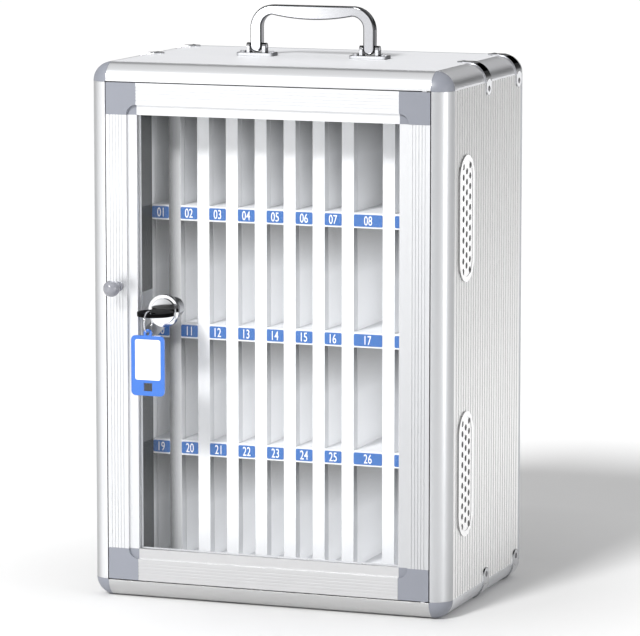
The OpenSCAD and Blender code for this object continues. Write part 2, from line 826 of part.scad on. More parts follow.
// Extrudes a drawing of depth and height along X, centred on x
module plate_x(x, t) {
    translate([x - t / 2, 0, 0]) rotate([90, 0, 90]) linear_extrude(t) children();
}
module ear_outline() {
    difference() {
        union() {
            translate([-ear_d / 2, bracket_t / 2]) square([ear_d, ear_h - ear_crown - bracket_t / 2]);
            translate([-ear_d / 2 + ear_crown, bracket_t / 2])
                square([ear_d - 2 * ear_crown, ear_h - bracket_t / 2]);
            for (f = [-1, 1]) translate([f * (ear_d / 2 - ear_crown), ear_h - ear_crown]) circle(ear_crown);
        }
        translate([0, pivot_h]) circle(pivot_r);
    }
}
module handle_bracket(side) {
    color("silver") difference() {
        union() {
            translate([side * leg_x, handle_y, body_h]) linear_extrude(bracket_t)
                rounded_rect(bracket_w, bracket_d, bracket_r);
            for (e = [-1, 1])
                translate([0, handle_y, body_h])
                    plate_x(side * leg_x + e * (leg_w / 2 + ear_gap + ear_t / 2), ear_t) ear_outline();
        }
        bracket_screw_places(body_h - eps) cylinder(r = screw_r, h = bracket_t + 2 * eps);
    }
}
module handle_bracket_left() handle_bracket(-1);
module handle_bracket_right() handle_bracket(1);
module bracket_screws() {
    color("silver") bracket_screw_places(body_h + bracket_t) {
        translate([0, 0, -screw_l]) cylinder(r = screw_r, h = screw_l);
        difference() {
            cylinder(r = screw_head_r, h = screw_head_h);
            for (a = [0, 90]) rotate(a)
                translate([-screw_head_r * 0.6, -0.4, screw_head_h / 2])
                    cube([screw_head_r * 1.2, 0.8, screw_head_h]);
        }
    }
}
module handle_pins() {
    color("silver") for (s = [-1, 1])
        translate([s * leg_x - ear_span / 2, handle_y, pivot_z])
            rotate([0, 90, 0]) cylinder(r = pivot_r, h = ear_span);
}

// Handle outline: x across, y above the pivots
module handle_outline() {
    top = body_h + handle_h - pivot_z;
    outer = leg_x + leg_w / 2;
    inner = leg_x - leg_w / 2;
    inner_r = handle_r - leg_w;
    difference() {
        union() {
            translate([-outer, 0]) square([2 * outer, top - handle_r]);
            translate([-outer + handle_r, 0]) square([2 * (outer - handle_r), top]);
            for (s = [-1, 1]) {
                translate([s * (outer - handle_r), top - handle_r]) circle(handle_r, $fn = 96);
            }
        }
        difference() {
            union() {
                translate([-inner, -eps]) square([2 * inner, eps + top - grip_end - inner_r]);
                translate([-inner + inner_r, -eps])
                    square([2 * (inner - inner_r), eps + top - grip_end]);
                for (s = [-1, 1])
                    translate([s * (inner - inner_r), top - grip_end - inner_r]) circle(inner_r, $fn = 96);
            }
            translate([0, top - grip_end - grip_belly + belly_r]) intersection() {
                circle(belly_r, $fn = 192);
                translate([-inner, -2 * belly_r]) square([2 * inner, 2 * belly_r]);
            }
        }
    }
}
// Lower end of a leg: round seen from the front, and cut to turn clear of the bracket
module leg_end(x) {
    difference() {
        intersection() {
            translate([x, 0, 0]) run_y(-handle_t / 2, handle_t / 2) {
                circle(leg_w / 2);
                translate([-leg_w / 2, 0]) square([leg_w, leg_w]);
            }
            plate_x(x, 2 * leg_w) {
                circle(leg_turn_r);
                translate([-leg_turn_r, 0]) square([2 * leg_turn_r, 2 * leg_w]);
            }
        }
        translate([x - leg_w, 0, 0]) rotate([0, 90, 0]) cylinder(r = pivot_r + run_clear, h = 2 * leg_w);
    }
}
module handle_bar() {
    color("silver") {
        translate([0, 0, pivot_z]) intersection() {
            run_y(handle_y - handle_t / 2, handle_y + handle_t / 2) handle_outline();
            translate([-body_w / 2, front_y, leg_w]) cube([body_w, body_d, 2 * handle_h]);
        }
        for (s = [-1, 1]) translate([0, handle_y, pivot_z]) leg_end(s * leg_x);
    }
}

// Door frame bar: x is the distance in from the door's edge, y the depth behind its front
module door_section() {
    difference() {
        square([stile_w, door_t]);
        translate([band_w, -eps]) square([stile_w, lip_recess + eps]);
        translate([rebate_u, pane_depth]) square([stile_w, door_t]);
        for (k = [0:band_grooves - 1])
            translate([band_w / 2 + (k - (band_grooves - 1) / 2) * band_pitch - band_groove_w / 2, -eps])
                square([band_groove_w, band_groove_d + eps]);
        translate([skin_t, skin_t]) square([band_w - 2 * skin_t, door_t]);
        translate([skin_t, lip_recess + skin_t])
            square([rebate_u - 2 * skin_t, door_t - lip_recess - 2 * skin_t]);
    }
    translate([0, door_t - skin_t]) square([rebate_u, skin_t]);
}
module door_stile(right) {
    flip_x(right) translate([-door_x, front_y, pane_z0])
        linear_extrude(pane_z1 - pane_z0) door_section();
}
module door_rail(top) {
    translate([0, front_y, top ? door_z1 : door_z0]) flip_z(top)
        run_x(2 * pane_open_x) door_section();
}
module door_stile_left() {
    color("gainsboro") difference() {
        door_stile(false);
        translate([knob_x, 0, knob_z]) rod_y(knob_screw_r, front_y - eps, front_y + lip_recess + 2 * skin_t);
    }
}
module door_stile_right() color("gainsboro") door_stile(true);
module door_rail_top() color("gainsboro") door_rail(true);
module door_rail_bottom() color("gainsboro") door_rail(false);

// Corner blocks, with the lip's rounded corner cut across them
module door_corner_blocks() {
    color("darkgray") difference() {
        for (x = [-door_x, door_x - stile_w], z = [door_z0, door_z1 - stile_w])
            translate([x, front_y, z]) cube([stile_w, door_t, stile_w]);
        translate([0, 0, (door_z0 + door_z1) / 2]) {
            run_y(front_y - eps, front_y + lip_recess)
                rounded_rect(2 * lip_x, door_z1 - door_z0 - 2 * band_w, lip_corner_r);
            run_y(front_y + pane_depth, front_y + door_t + eps)
                square([2 * (door_x - rebate_u), door_z1 - door_z0 - 2 * rebate_u], center = true);
        }
        for (z = [door_z0 - eps, door_z1 - pin_reach - 1])
            translate([hinge_x, hinge_y, z]) cylinder(r = pin_r + run_clear, h = pin_reach + 1 + eps);
    }
}

module pane_outline() {
    square([2 * (door_x - rebate_u - pane_fit), door_z1 - door_z0 - 2 * (rebate_u + pane_fit)],
        center = true);
}
module door_pane() {
    color("lightcyan", 0.3) difference() {
        translate([0, 0, (door_z0 + door_z1) / 2])
            run_y(lock_y0, front_y + pane_back) pane_outline();
        translate([lock_x, 0, lock_z])
            rod_y(lock_barrel_r + lock_fit, lock_y0 - eps, front_y + pane_back + eps);
    }
}
module glazing_bead() {
    color("dimgray") translate([0, 0, (door_z0 + door_z1) / 2])
        run_y(front_y + pane_back, front_y + pane_back + bead_d) difference() {
            pane_outline();
            square([2 * pane_open_x, pane_z1 - pane_z0], center = true);
        }
}

module door_knob() {
    color("darkgray") translate([knob_x, 0, knob_z]) difference() {
        union() {
            translate([0, front_y - knob_out, 0]) sphere(knob_r, $fn = 96);
            rod_y(knob_neck_r, front_y - knob_out, front_y);
            rod_y(knob_foot_r, front_y - knob_foot_t, front_y);
        }
        rod_y(knob_screw_r, front_y - knob_out + knob_r / 2, front_y + eps);
    }
}
module knob_screw() {
    wall_end = front_y + skin_t;
    color("silver") translate([knob_x, 0, knob_z]) {
        rod_y(knob_screw_r, front_y - knob_out + knob_r / 2 + 0.5, wall_end);
        rod_y(knob_screw_r * 1.8, wall_end, wall_end + knob_screw_r);
    }
}

// Lock
module at_lock() translate([lock_x, 0, lock_z]) children();
module lock_body() {
    color("silver") at_lock() difference() {
        union() {
            rod_y(lock_bezel_r, bezel_y, lock_y0, $fn = 96);
            rod_y(lock_barrel_r, lock_y0 - eps, barrel_end, $fn = 96);
        }
        rod_y(plug_r + run_clear, bezel_y - eps, barrel_end + eps);
    }
}
module lock_nut() {
    nut_y = front_y + pane_back;
    color("silver") at_lock() difference() {
        translate([0, nut_y + nut_t, 0]) rotate([90, 0, 0]) cylinder(d = nut_across, h = nut_t, $fn = 6);
        rod_y(lock_barrel_r, nut_y - eps, nut_y + nut_t + eps, $fn = 96);
    }
}
module keyway(clear) {
    translate([-blade_w / 2 - clear, plug_face_y - eps, -blade_t / 2 - clear])
        cube([blade_w + 2 * clear, blade_in + eps + clear, blade_t + 2 * clear]);
}
module lock_plug() {
    color("silver") at_lock() difference() {
        union() {
            rod_y(plug_face_r, plug_face_y, plug_face_y + plug_face_t, $fn = 96);
            rod_y(plug_r, plug_face_y + plug_face_t - eps, cam_y);
            rod_y(stub_r, cam_y - eps, cam_end);
        }
        keyway(key_fit);
        rod_y(stub_r / 2, cam_y, cam_end + eps);
    }
}
// Cam, turned back by cam_rest from its locked place behind the strike
module lock_cam() {
    color("silver") at_lock() rotate([0, 90 - cam_rest, 0]) difference() {
        union() {
            rod_y(cam_w / 2, cam_y, cam_end);
            translate([-cam_w / 2, cam_y, -cam_reach + cam_w / 2])
                cube([cam_w, cam_t, cam_reach - cam_w / 2]);
            translate([0, 0, -cam_reach + cam_w / 2]) rod_y(cam_w / 2, cam_y, cam_end);
        }
        rod_y(stub_r, cam_y - eps, cam_end + eps);
    }
}
module cam_screw() {
    color("gray") at_lock() {
        rod_y(stub_r / 2, cam_y, cam_end + eps);
        rod_y(stub_r + 1.8, cam_end, cam_end + 2);
    }
}

// Key, with its bow lying flat
module key_blade() {
    teeth = 5;
    color("silver") at_lock() difference() {
        translate([-blade_w / 2, bow_y, -blade_t / 2])
            cube([blade_w, plug_face_y + blade_in - bow_y, blade_t]);
        for (k = [0:teeth - 1])
            translate([blade_w / 2, plug_face_y + 4 + k * (blade_in - 6) / teeth, 0])
                cylinder(r = 1.2 + 0.3 * (k % 2), h = 3 * blade_t, center = true);
    }
}
module key_bow() {
    shoulder_w = blade_w + 5;
    color("black") at_lock() difference() {
        translate([0, 0, -bow_t / 2]) linear_extrude(bow_t) {
            translate([0, bow_y]) circle(bow_r, $fn = 96);
            translate([-shoulder_w / 2, bow_y]) square([shoulder_w, bow_r + bow_gap - 0.5]);
        }
        translate([-blade_w / 2, bow_y, -blade_t / 2]) cube([blade_w, 2 * bow_r, blade_t]);
        translate([0, bow_hole_y, 0]) cylinder(r = bow_hole_r, h = 2 * bow_t, center = true);
    }
}
module key_ring() {
    color("silver") translate([lock_x, ring_y, ring_z]) rotate([0, 90, 0])
        rotate_extrude($fn = 96) translate([ring_r, 0]) circle(wire_r);
}

// Tag that hangs from the ring, facing the front
module tag_body_outline() {
    translate([0, -tag_h / 2]) rounded_rect(tag_w, tag_h, tag_r);
    translate([0, eye_up]) circle(eye_r);
}
module key_tag() {
    color("royalblue") translate([lock_x, 0, tag_top]) difference() {
        run_y(ring_y - tag_t / 2, ring_y + tag_t / 2) difference() {
            tag_body_outline();
            translate([0, eye_up]) circle(eye_hole_r);
            translate([-tag_slot_w / 2, -tag_h + tag_slot_up]) square([tag_slot_w, tag_slot_h]);
        }
        run_y(ring_y - tag_t / 2 - eps, ring_y - tag_t / 2 + pocket_d) card_outline();
    }
}
module card_outline() {
    translate([0, -card_top - card_h / 2]) rounded_rect(card_w, card_h, 2);
}
module tag_card() {
    color("white") translate([lock_x, 0, tag_top])
        run_y(ring_y - tag_t / 2 + pocket_d - card_t, ring_y - tag_t / 2 + pocket_d) card_outline();
}

front_profile_top();
front_profile_bottom();
front_profile_left();
front_profile_right();
corner_cap_top_left();
corner_cap_top_right();
corner_cap_bottom_left();
corner_cap_bottom_right();
edge_profile_top_left();
edge_profile_top_right();
edge_profile_bottom_left();
edge_profile_bottom_right();
top_panel();
bottom_panel();
left_panel();
right_panel();
back_panel();
rear_trim_left();
rear_trim_right();
rear_trim_top();
rear_trim_bottom();
edge_clips();
clip_rivets();
vent_plates_left();
vent_plates_right();
slot_dividers();
slot_side_left();
slot_side_right();
slot_floor_1();
slot_floor_2();
slot_floor_3();
slot_floor_4();
slot_ceiling();
number_labels();
lock_strike();
hinge_pins();
handle_bracket_left();
handle_bracket_right();
bracket_screws();
handle_pins();
handle_bar();
door_stile_left();
door_stile_right();
door_rail_top();
door_rail_bottom();
door_corner_blocks();
door_pane();
glazing_bead();
door_knob();
knob_screw();
lock_body();
lock_nut();
lock_plug();
lock_cam();
cam_screw();
key_blade();
key_bow();
key_ring();
key_tag();
tag_card();
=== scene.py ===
"""Looks of the phone locker cabinet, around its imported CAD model. Metres; X right, Y back, Z up."""

import json
import math

import bmesh
import bpy
from mathutils import Matrix, Vector


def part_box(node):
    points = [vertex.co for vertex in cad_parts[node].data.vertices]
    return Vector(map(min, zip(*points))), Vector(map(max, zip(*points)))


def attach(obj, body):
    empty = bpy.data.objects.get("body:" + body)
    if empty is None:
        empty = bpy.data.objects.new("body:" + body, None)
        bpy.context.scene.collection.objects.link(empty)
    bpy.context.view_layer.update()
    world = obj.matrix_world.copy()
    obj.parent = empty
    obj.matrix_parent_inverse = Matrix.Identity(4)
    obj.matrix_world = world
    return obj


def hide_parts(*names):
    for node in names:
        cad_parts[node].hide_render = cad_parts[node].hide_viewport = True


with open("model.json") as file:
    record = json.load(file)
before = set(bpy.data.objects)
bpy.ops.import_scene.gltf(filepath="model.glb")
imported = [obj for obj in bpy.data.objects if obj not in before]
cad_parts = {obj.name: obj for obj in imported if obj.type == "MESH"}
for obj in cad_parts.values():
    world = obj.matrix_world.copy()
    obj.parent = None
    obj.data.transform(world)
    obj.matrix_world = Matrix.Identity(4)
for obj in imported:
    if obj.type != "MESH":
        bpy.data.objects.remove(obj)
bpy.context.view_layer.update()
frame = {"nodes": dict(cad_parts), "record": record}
nodes = frame["nodes"]
MM = 0.001

# Slot grid, in mm
ROWS, COLUMNS, NARROW = 4, 9, 7
SLOT_W, WIDE_W, DIVIDER = 16.743, 28.0, 11.75
SLOT_H, SHELF, FLOOR = 96.55, 14.1, 32.5
ROW_STEP = SLOT_H + SHELF
TOP_FLOOR = FLOOR + (ROWS - 1) * ROW_STEP

# Places on the cabinet, in metres: front of the slots, the seam in their walls, middle of the lock,
# foot and top of the right side's ribs, and the level where the handle's ears begin to round off
GRID_Y = -0.056
SEAM_Y = GRID_Y + 0.010
LOCK_X, LOCK_Z = -0.1023, 0.272
RIB_FOOT_X, RIB_TOP_X = 0.1742, 0.1749
EAR_LOW, EAR_HIGH = 0.5045, 0.5055

# Handle, in mm
HANDLE_Y, HANDLE_T, HANDLE_TOP, HANDLE_R = 16, 9, 548, 22
LEG_X, LEG_W, PIVOT_Z = 56, 10.8, 509
GRIP_END, GRIP_BELLY, HANDLE_ROUND = 9.2, 4, 1.3

# Numbers: height in mm, share of the letter size that a digit takes up, and their narrowness
NUMBER_H, DIGIT_SHARE, NUMBER_NARROW = 8.4, 0.7, 0.68


# Shader nodes

def coordinate(tree, source, axis):
    """One axis of the Object, Normal or Generated coordinates."""
    split = tree.nodes.new("ShaderNodeSeparateXYZ")
    tree.links.new(tree.nodes.new("ShaderNodeTexCoord").outputs[source], split.inputs["Vector"])
    return split.outputs[axis]


def map_range(tree, value, low, high, at_low, at_high, clamp=True):
    """Factor that runs from at_low to at_high while the value runs from low to high."""
    level = tree.nodes.new("ShaderNodeMapRange")
    level.clamp = clamp
    for name, number in (("From Min", low), ("From Max", high), ("To Min", at_low), ("To Max", at_high)):
        level.inputs[name].default_value = number
    tree.links.new(value, level.inputs["Value"])
    return level.outputs["Result"]


def combine(tree, operation, *values):
    """A Math node's result for one or more sockets."""
    node = tree.nodes.new("ShaderNodeMath")
    node.operation = operation
    for socket, value in zip(node.inputs, values):
        tree.links.new(value, socket)
    return node.outputs["Value"]


def product(tree, *values):
    result = values[0]
    for value in values[1:]:
        result = combine(tree, "MULTIPLY", result, value)
    return result


def larger(tree, one, other):
    return combine(tree, "MAXIMUM", one, other)


def signed_level(tree, source, axis, low, high, at_low, at_high):
    """Factor that runs from at_low to at_high while one coordinate runs from low to high."""
    return map_range(tree, coordinate(tree, source, axis), low, high, at_low, at_high)


def axis_level(tree, source, axis, low, high, at_low, at_high):
    """The same for the coordinate's size without its sign."""
    size = combine(tree, "ABSOLUTE", coordinate(tree, source, axis))
    return map_range(tree, size, low, high, at_low, at_high)


def distance(tree, place):
    """Distance from a place, in the object's coordinates."""
    far = tree.nodes.new("ShaderNodeVectorMath")
    far.operation = "DISTANCE"
    far.inputs[1].default_value = place
    tree.links.new(tree.nodes.new("ShaderNodeTexCoord").outputs["Object"], far.inputs[0])
    return far.outputs["Value"]


# Painted light and shade: factors on a material's colour by place and direction, mostly painted shade,
# shadow and reflection

def painted_edge_shade(tree):
    """Painted reflection: a dark line along every sharp edge, where polished metal turns away."""
    edge = tree.nodes.new("ShaderNodeBevel")
    edge.samples = 6
    edge.inputs["Radius"].default_value = 1.2 * MM
    dot = tree.nodes.new("ShaderNodeVectorMath")
    dot.operation = "DOT_PRODUCT"
    tree.links.new(edge.outputs["Normal"], dot.inputs[0])
    tree.links.new(tree.nodes.new("ShaderNodeNewGeometry").outputs["True Normal"], dot.inputs[1])
    return map_range(tree, dot.outputs["Value"], 0.80, 0.97, 0.22, 1.0)


def painted_groove_shade(tree):
    """Painted shade: ribs light on their tops, greyer down in the grooves, darkest on the walls between,
    and darker upwards.
    """
    depth = axis_level(tree, "Object", "X", RIB_FOOT_X, RIB_TOP_X, 0.76, 1.0)
    walls = axis_level(tree, "Normal", "Y", 0.2, 0.6, 1.0, 0.50)
    upwards = signed_level(tree, "Object", "Z", 0.15, 0.46, 1.0, 0.72)
    return product(tree, depth, walls, upwards)


def painted_rim_shade(tree):
    """Painted reflection and shade: bright front and back, a dark rim round them, grey sides, and greyer
    towards the right.
    """
    face = axis_level(tree, "Normal", "Y", 0.93, 0.995, 0.14, 1.0)
    side = axis_level(tree, "Normal", "Y", 0.02, 0.15, 0.45, 0.0)
    right = signed_level(tree, "Object", "X", 0.0, 0.045, 1.0, 0.76)
    return product(tree, combine(tree, "ADD", face, side), right)


def painted_bracket_shade(tree):
    """Painted shade: dark tops on the ears and dark ends, besides the painted dark edges."""
    low = signed_level(tree, "Object", "Z", EAR_LOW, EAR_HIGH, 1.0, 0.0)
    top = signed_level(tree, "Normal", "Z", 0.3, 0.7, 1.0, 0.15)
    ends = axis_level(tree, "Normal", "X", 0.5, 0.8, 1.0, 0.35)
    return product(tree, painted_edge_shade(tree), ends, larger(tree, low, top))


def height_in_slot(tree):
    """0 at each floor of the slots, rising to 1 at the next floor."""
    rows = map_range(tree, coordinate(tree, "Object", "Z"), FLOOR * MM, (FLOOR + ROW_STEP) * MM, 0.0, 1.0,
                     clamp=False)
    return combine(tree, "FRACT", rows)


def right_faces(tree):
    return signed_level(tree, "Normal", "X", 0.4, 0.6, 0.0, 1.0)


def seam_and_painted_board_shade(tree):
    """White, with painted shade on the side faces, darker upwards in every slot and most in front of the
    slots, and a dark line at the seam in their walls.
    """
    upwards = map_range(tree, height_in_slot(tree), 0.45, 0.87, 1.0, 0.19)
    in_front = signed_level(tree, "Object", "Y", GRID_Y - 0.0006, GRID_Y, 0.12, 1.0)
    behind_seam = signed_level(tree, "Object", "Y", SEAM_Y + 0.0001, SEAM_Y + 0.0003, 0.6, 1.0)
    before_seam = signed_level(tree, "Object", "Y", SEAM_Y - 0.0003, SEAM_Y - 0.0001, 0.4, 0.0)
    seam = combine(tree, "ADD", behind_seam, before_seam)
    mix = tree.nodes.new("ShaderNodeMix")
    mix.inputs["A"].default_value = 1.0
    tree.links.new(right_faces(tree), mix.inputs["Factor"])
    tree.links.new(product(tree, upwards, in_front, seam), mix.inputs["B"])
    return mix.outputs["Result"]


def seam_and_painted_divider_shade(tree):
    """As the boards, and painted shadow of the left stile: greyer fronts towards the left."""
    not_front = signed_level(tree, "Normal", "Y", -0.6, -0.4, 0.0, 1.0)
    near = signed_level(tree, "Object", "X", -0.118, -0.095, 0.12, 1.0)
    return product(tree, seam_and_painted_board_shade(tree), larger(tree, not_front, near))


def painted_bounce_light(tree):
    """Painted light, given off as emission: light bounced onto the side faces in the slots, least at the
    top and on the left.
    """
    upwards = map_range(tree, height_in_slot(tree), 0.50, 0.87, 1.0, 0.75)
    behind_seam = signed_level(tree, "Object", "Y", SEAM_Y + 0.0001, SEAM_Y + 0.0003, 0.0, 1.0)
    to_right = signed_level(tree, "Object", "X", -0.13, -0.05, 0.3, 1.0)
    top_row = signed_level(tree, "Object", "Z", TOP_FLOOR * MM, (TOP_FLOOR + SLOT_H) * MM, 0.45, 0.0)
    lower_rows = signed_level(tree, "Object", "Z", (TOP_FLOOR - SHELF) * MM, TOP_FLOOR * MM, 1.0, 0.0)
    return product(tree, upwards, behind_seam, to_right, larger(tree, top_row, lower_rows),
                   right_faces(tree))


def painted_vent_shade(tree):
    """Painted shade on the hole walls and plate rims."""
    return axis_level(tree, "Normal", "X", 0.3, 0.7, 0.30, 1.0)


def painted_clip_reflection(tree):
    """Painted reflection: black round the bend of the strap, bright on its flat ends."""
    bend = signed_level(tree, "Normal", "Z", 0.90, 0.985, 0.03, 1.0)
    tab = signed_level(tree, "Normal", "Z", 0.30, 0.62, 1.0, 0.03)
    return product(tree, painted_edge_shade(tree), larger(tree, bend, tab))


def painted_plug_shade(tree):
    """Turned metal with painted reflection: light below and darker towards the upper right."""
    across = signed_level(tree, "Object", "X", LOCK_X - 0.010, LOCK_X + 0.009, 0.95, 0.40)
    below = signed_level(tree, "Object", "Z", LOCK_Z + 0.001, LOCK_Z + 0.005, 1.0, 0.0)
    return product(tree, painted_edge_shade(tree), larger(tree, across, below))


def barrel_rings_and_painted_shade(tree):
    """Dark rings down the sides, with painted shade that darkens them upwards."""
    wave = tree.nodes.new("ShaderNodeMath")
    wave.operation = "PINGPONG"
    wave.inputs[1].default_value = MM
    tree.links.new(coordinate(tree, "Object", "Y"), wave.inputs[0])
    rings = map_range(tree, wave.outputs["Value"], 0.3 * MM, 0.6 * MM, 0.15, 1.0)
    upwards = signed_level(tree, "Normal", "Z", -0.2, 0.7, 1.0, 0.3)
    front = signed_level(tree, "Normal", "Y", -0.9, -0.7, 1.0, 0.0)
    return product(tree, painted_edge_shade(tree), larger(tree, product(tree, rings, upwards), front))


def painted_shade_of_left_profile(tree):
    """Painted shade: greyer on the side that turns away to the left."""
    return signed_level(tree, "Normal", "X", -0.75, -0.35, 0.51, 1.0)


def painted_shade_of_right_profile(tree):
    """Painted shade: greyer where it turns to the side."""
    return signed_level(tree, "Normal", "X", 0.70, 0.95, 1.0, 0.80)


def painted_shade_of_corners(tree):
    """Painted shade: a little darker towards the right."""
    return signed_level(tree, "Object", "X", -0.12, 0.15, 1.0, 0.86)


def painted_lip_shade(tree):
    """Painted shade: a grey line along the step of the lip."""
    return axis_level(tree, "Normal", "Z", 0.35, 0.8, 1.0, 0.30)


def painted_stile_shade(tree):
    """Painted shade: a little greyer towards the foot."""
    return signed_level(tree, "Object", "Z", 0.15, 0.42, 0.84, 1.0)


def painted_floor_shadow(tree):
    """Painted shadow: slightly greyer round the object and behind it."""
    round_object = map_range(tree, distance(tree, (0.06, 0.05, 0)), 0.18, 0.42, 0.76, 1.0)
    behind = map_range(tree, distance(tree, (0.08, 0.54, 0)), 0.12, 0.40, 0.86, 1.0)
    return product(tree, round_object, behind)


# Materials

# Strength of the painted light that the slot walls give off as emission
PAINTED_GLOW = 0.2


def srgb(r, g, b):
    """Linear colour of a colour given in 0 to 255 as it is seen."""
    out = []
    for v in (r, g, b):
        v /= 255
        out.append(v / 12.92 if v <= 0.04045 else ((v + 0.055) / 1.055) ** 2.4)
    return out


def shaded(colour, k):
    return [min(1.0, c * k) for c in colour] + [1.0]


def stretched_normal(tree, flatten):
    """The surface's normal, turned towards the front or back."""
    lean = tree.nodes.new("ShaderNodeVectorMath")
    lean.operation = "MULTIPLY"
    lean.inputs[1].default_value = (1, 1 + flatten, 1)
    tree.links.new(tree.nodes.new("ShaderNodeTexCoord").outputs["Normal"], lean.inputs[0])
    turn = tree.nodes.new("ShaderNodeVectorTransform")
    turn.vector_type = "NORMAL"
    turn.convert_from = "OBJECT"
    turn.convert_to = "WORLD"
    tree.links.new(lean.outputs["Vector"], turn.inputs["Vector"])
    return turn.outputs["Vector"]


def make_material(name, colour, rough, metallic=0.0, grain=(400, 400, 400), grain_depth=0.02,
                  soft_edge=0.5, spread=0.03, rough_spread=0.06, patch=22, specular=0.5, coat=0.0,
                  alpha=1.0, tone=None, dark_tint=False, flatten=0.0, painted_glow=None):
    """Principled material with grain, uneven gloss, slightly uneven colour and rounded-looking edges.
    grain is the noise scale along X, Y and Z in 1/m, grain_depth in mm, soft_edge in mm. tone gives a
    factor on the colour, from the node tree: painted shade, shadow and reflection, on the slot boards
    also a dark seam line, and with dark_tint also on what shows at a flat angle.
    flatten softens shallow flutes on a piece's front and back, by stretching their normals along Y. A
    given
    glow function adds painted light: an emission that stands in for light bounced onto the slot walls,
    though they are no lamp."""
    m = bpy.data.materials.new(name)
    m.use_nodes = True
    tree = m.node_tree
    new, link = tree.nodes.new, tree.links.new
    bsdf = tree.nodes["Principled BSDF"]
    where = new("ShaderNodeTexCoord").outputs["Object"]

    patches = new("ShaderNodeTexNoise")
    patches.inputs["Scale"].default_value = patch
    patches.inputs["Detail"].default_value = 4
    link(where, patches.inputs["Vector"])
    tint = new("ShaderNodeMix")
    tint.data_type = "RGBA"
    tint.inputs["A"].default_value = shaded(colour, 1 - spread)
    tint.inputs["B"].default_value = shaded(colour, 1 + spread)
    link(patches.outputs["Fac"], tint.inputs["Factor"])
    base = tint.outputs["Result"]
    if tone:
        toned = new("ShaderNodeVectorMath")
        toned.operation = "SCALE"
        link(base, toned.inputs[0])
        level = tone(tree)
        link(level, toned.inputs["Scale"])
        base = toned.outputs["Vector"]
        if dark_tint:
            link(level, bsdf.inputs["Specular Tint"])
    link(base, bsdf.inputs["Base Color"])
    # Painted light: emission that stands in for light bounced onto the slot walls
    if painted_glow:
        bsdf.inputs["Emission Color"].default_value = (0, 0, 0, 1)
        bsdf.inputs["Emission Strength"].default_value = PAINTED_GLOW
        link(painted_glow(tree), bsdf.inputs["Emission Color"])

    stretch = new("ShaderNodeMapping")
    stretch.inputs["Scale"].default_value = grain
    link(where, stretch.inputs["Vector"])
    fine = new("ShaderNodeTexNoise")
    fine.inputs["Scale"].default_value = 1
    fine.inputs["Detail"].default_value = 3
    link(stretch.outputs["Vector"], fine.inputs["Vector"])
    gloss = map_range(tree, fine.outputs["Fac"], 0.0, 1.0, max(0.0, rough - rough_spread),
                      rough + rough_spread)
    link(gloss, bsdf.inputs["Roughness"])

    bump = new("ShaderNodeBump")
    bump.inputs["Strength"].default_value = 1
    bump.inputs["Distance"].default_value = grain_depth * MM
    link(fine.outputs["Fac"], bump.inputs["Height"])
    if flatten:
        link(stretched_normal(tree, flatten), bump.inputs["Normal"])
    elif soft_edge:
        edge = new("ShaderNodeBevel")
        edge.samples = 4
        edge.inputs["Radius"].default_value = soft_edge * MM
        link(edge.outputs["Normal"], bump.inputs["Normal"])
    link(bump.outputs["Normal"], bsdf.inputs["Normal"])

    bsdf.inputs["Metallic"].default_value = metallic
    bsdf.inputs["Specular IOR Level"].default_value = specular
    bsdf.inputs["Coat Weight"].default_value = coat
    bsdf.inputs["Coat Roughness"].default_value = 0.08
    bsdf.inputs["Alpha"].default_value = alpha
    return m


def brushed(name, colour, rough, along, **more):
    """Metal with a fine grain drawn out along one axis."""
    grain = [2600, 2600, 2600]
    grain["XYZ".index(along)] = 60
    return make_material(name, colour, rough, metallic=1.0, grain=grain, grain_depth=0.0006, spread=0.01,
                         rough_spread=0.015, patch=9, **more)


def polished(name, colour, rough, tone, soft_edge=0.3, dark_tint=True):
    """Chromed metal with painted dark reflections, which also stay dark at a flat angle unless dark_tint
    is off.
    """
    return make_material(name, colour, rough, metallic=1.0, grain=(300, 300, 300), grain_depth=0.001,
                         rough_spread=0.03, soft_edge=soft_edge, tone=tone, dark_tint=dark_tint)


def board(name, tone):
    """White plastic of the slots, with painted shade and painted light on the side faces in the slots."""
    return make_material(name, srgb(244, 245, 247), 0.48, grain=(700, 700, 700), grain_depth=0.012,
                         soft_edge=0.4, spread=0.015, specular=0.12, tone=tone, painted_glow=painted_bounce_light)


# The frame's aluminium comes in copies with painted light and shade in their colours: the left profile
# lighter, the right and bottom profiles, the bottom rail and the right stile darker.
edge_profile = brushed("edge_profile", srgb(229, 230, 233), 0.30, "Y", soft_edge=0.6)
top_profile = brushed("top_profile", srgb(230, 231, 233), 0.30, "X", soft_edge=0.6)
left_profile_lit = brushed("left_profile_lit", srgb(240, 241, 243), 0.30, "Z", soft_edge=0.6,
                       tone=painted_shade_of_left_profile)
right_profile_shaded = brushed("right_profile_shaded", srgb(197, 198, 200), 0.33, "Z", soft_edge=0.6,
                        tone=painted_shade_of_right_profile)
low_profile_shaded = brushed("low_profile_shaded", srgb(200, 200, 200), 0.32, "X", soft_edge=0.6)
left_stile = brushed("left_stile", srgb(222, 223, 225), 0.46, "Z", flatten=0.6)
top_rail = brushed("top_rail", srgb(222, 223, 225), 0.50, "X", flatten=3, tone=painted_lip_shade)
low_rail_shaded = brushed("low_rail_shaded", srgb(200, 200, 201), 0.50, "X", flatten=0.4)
right_stile_shaded = brushed("right_stile_shaded", srgb(212, 213, 215), 0.52, "Z", flatten=0.8, tone=painted_stile_shade)
ribbed = brushed("ribbed_panel", srgb(248, 248, 248), 0.42, "Z", soft_edge=0, tone=painted_groove_shade)
chrome = polished("chrome", srgb(222, 223, 226), 0.08, painted_edge_shade, soft_edge=0.7, dark_tint=False)
grip_chrome = polished("grip_chrome", srgb(216, 217, 221), 0.12, painted_rim_shade, soft_edge=0)
bracket_chrome = polished("bracket_chrome", srgb(224, 225, 228), 0.10, painted_bracket_shade)
